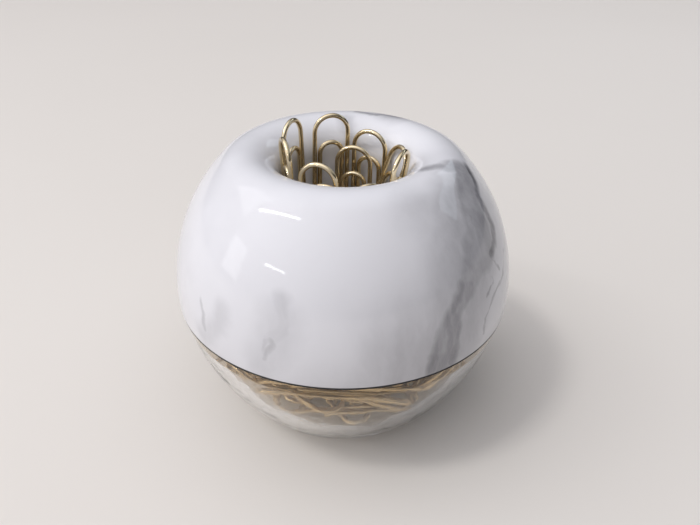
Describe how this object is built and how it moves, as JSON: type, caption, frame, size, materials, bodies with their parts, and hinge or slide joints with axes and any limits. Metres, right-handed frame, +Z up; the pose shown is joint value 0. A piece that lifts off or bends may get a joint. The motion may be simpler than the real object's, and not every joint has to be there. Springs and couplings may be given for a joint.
{
  "type": "magnetic paper clip holder",
  "caption": "Round desk paper clip holder: marble-print dome with a magnetic throat that stands clips upright, plugged onto a clear bowl of loose gold wire clips.",
  "frame": {"origin": "middle of the flat base", "axes": "+Z up the throat, -Y toward the viewer of the picture"},
  "size_m": [0.065, 0.065, 0.0571],
  "materials": {
    "clear_plastic": "clear, polished",
    "seam_black": "satin black",
    "marble_print": "gloss white with a printed grey marble vein",
    "ferrite": "ground, dark grey",
    "white_plastic": "satin white",
    "gold_wire": "bright pale gold plating on steel wire"
  },
  "bodies": {
    "bowl": {"clear_bowl": "clear_plastic", "loose_clips_1": "gold_wire", "loose_clips_2": "gold_wire", "loose_clips_3": "gold_wire", "loose_clips_4": "gold_wire", "loose_clips_5": "gold_wire", "loose_clips_6": "gold_wire", "loose_clips_7": "gold_wire", "loose_clips_8": "gold_wire", "loose_clips_9": "gold_wire"},
    "seam": {"seam_ring": "seam_black"},
    "dome": {"dome_shell": "marble_print", "ring_magnet": "ferrite", "magnet_retainer": "white_plastic"},
    "standing_clip_01": {"standing_clip_01": "gold_wire"},
    "standing_clip_02": {"standing_clip_02": "gold_wire"},
    "standing_clip_03": {"standing_clip_03": "gold_wire"},
    "standing_clip_04": {"standing_clip_04": "gold_wire"},
    "standing_clip_05": {"standing_clip_05": "gold_wire"},
    "standing_clip_06": {"standing_clip_06": "gold_wire"},
    "standing_clip_07": {"standing_clip_07": "gold_wire"},
    "standing_clip_08": {"standing_clip_08": "gold_wire"},
    "standing_clip_09": {"standing_clip_09": "gold_wire"},
    "standing_clip_10": {"standing_clip_10": "gold_wire"}
  },
  "joints": [
    {"name": "dome_turn", "type": "hinge", "parent": "bowl", "child": "seam", "pos_m": [0, 0, 0.0246], "axis": [0, 0, 1], "continuous": true},
    {"name": "dome_lift", "type": "slide", "parent": "seam", "child": "dome", "axis": [0, 0, 1], "range_m": [0, 0.04]},
    {"name": "clip_lift_01", "type": "slide", "parent": "dome", "child": "standing_clip_01", "axis": [0, 0, 1], "range_m": [0, 0.032]},
    {"name": "clip_lift_02", "type": "slide", "parent": "dome", "child": "standing_clip_02", "axis": [0, 0, 1], "range_m": [0, 0.032]},
    {"name": "clip_lift_03", "type": "slide", "parent": "dome", "child": "standing_clip_03", "axis": [0, 0, 1], "range_m": [0, 0.032]},
    {"name": "clip_lift_04", "type": "slide", "parent": "dome", "child": "standing_clip_04", "axis": [0, 0, 1], "range_m": [0, 0.032]},
    {"name": "clip_lift_05", "type": "slide", "parent": "dome", "child": "standing_clip_05", "axis": [0, 0, 1], "range_m": [0, 0.032]},
    {"name": "clip_lift_06", "type": "slide", "parent": "dome", "child": "standing_clip_06", "axis": [0, 0, 1], "range_m": [0, 0.032]},
    {"name": "clip_lift_07", "type": "slide", "parent": "dome", "child": "standing_clip_07", "axis": [0, 0, 1], "range_m": [0, 0.032]},
    {"name": "clip_lift_08", "type": "slide", "parent": "dome", "child": "standing_clip_08", "axis": [0, 0, 1], "range_m": [0, 0.032]},
    {"name": "clip_lift_09", "type": "slide", "parent": "dome", "child": "standing_clip_09", "axis": [0, 0, 1], "range_m": [0, 0.032]},
    {"name": "clip_lift_10", "type": "slide", "parent": "dome", "child": "standing_clip_10", "axis": [0, 0, 1], "range_m": [0, 0.032]}
  ]
}
